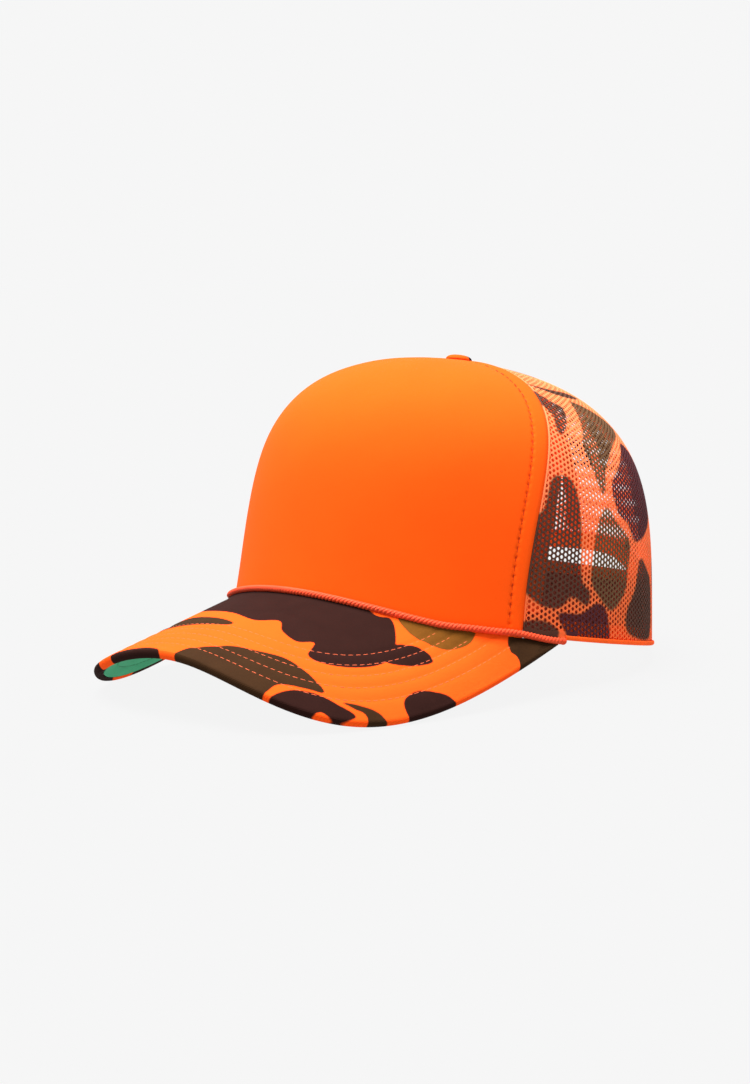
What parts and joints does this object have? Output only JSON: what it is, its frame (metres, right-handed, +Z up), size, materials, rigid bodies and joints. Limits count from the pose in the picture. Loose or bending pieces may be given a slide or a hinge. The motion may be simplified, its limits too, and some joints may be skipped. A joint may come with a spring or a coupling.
{
  "type": "trucker cap",
  "caption": "Five-panel trucker cap with a foam front, camouflage mesh back, curved brim, rope trim and an adjustable snap strap.",
  "frame": {"origin": "on the surface the cap stands on, under the middle of its outline", "axes": "+X to the wearer's left, +Y to the back of the head, +Z up; the brim points along -Y and the cap stands on the side edges of the brim and the back of the rim"},
  "size_m": [0.1802, 0.2656, 0.1346],
  "materials": {
    "front_cloth": "smooth matt polyester, neon orange",
    "foam": "open-cell foam, orange",
    "camo_mesh": "knitted hexagonal mesh, printed orange and brown camouflage",
    "trim_tape": "woven cotton tape, red-orange",
    "band_padding": "non-woven padding",
    "band_cloth": "brushed cotton twill, dark red-brown",
    "band_binding": "woven tape, red-orange",
    "label": "blank woven satin label",
    "brim_camo": "printed twill, orange and brown camouflage",
    "brim_board": "moulded polyethylene sheet",
    "brim_green": "plain green twill",
    "rope": "twisted polyester cord, coral red",
    "button_cloth": "cloth-covered button",
    "button_metal": "stamped aluminium",
    "strap_plastic": "satin flexible plastic, orange"
  },
  "bodies": {
    "cap": {"front_panel_cloth": "front_cloth", "front_panel_foam": "foam", "side_mesh_left": "camo_mesh", "side_mesh_right": "camo_mesh", "rear_mesh_left": "camo_mesh", "rear_mesh_right": "camo_mesh", "front_seam_tape_left": "trim_tape", "front_seam_tape_right": "trim_tape", "side_seam_tape_left": "trim_tape", "side_seam_tape_right": "trim_tape", "centre_back_tape": "trim_tape", "hem_binding_left": "trim_tape", "hem_binding_right": "trim_tape", "arch_binding": "trim_tape", "sweatband_padding": "band_padding", "sweatband_cloth": "band_cloth", "sweatband_binding": "band_binding", "inside_label": "label", "brim_top_cover": "brim_camo", "brim_board": "brim_board", "brim_under_cover": "brim_green", "brim_rope": "rope", "rope_tack_left": "rope", "rope_tack_right": "rope", "top_button_cover": "button_cloth", "top_button_core": "button_metal", "top_button_back": "button_metal", "strap_tab_left": "trim_tape", "strap_tab_right": "trim_tape"},
    "hole_strap": {"strap_with_holes": "strap_plastic"},
    "peg_strap": {"strap_with_pegs": "strap_plastic"}
  },
  "joints": [
    {"name": "hole_strap_swing", "type": "hinge", "parent": "cap", "child": "hole_strap", "pos_m": [-0.04066, 0.11819, 0.01323], "axis": [0, 0.1891, 0.982], "range_deg": [0, 60]},
    {"name": "peg_strap_swing", "type": "hinge", "parent": "cap", "child": "peg_strap", "pos_m": [0.03975, 0.11678, 0.0135], "axis": [0, 0.1891, 0.982], "range_deg": [0, 25]}
  ]
}
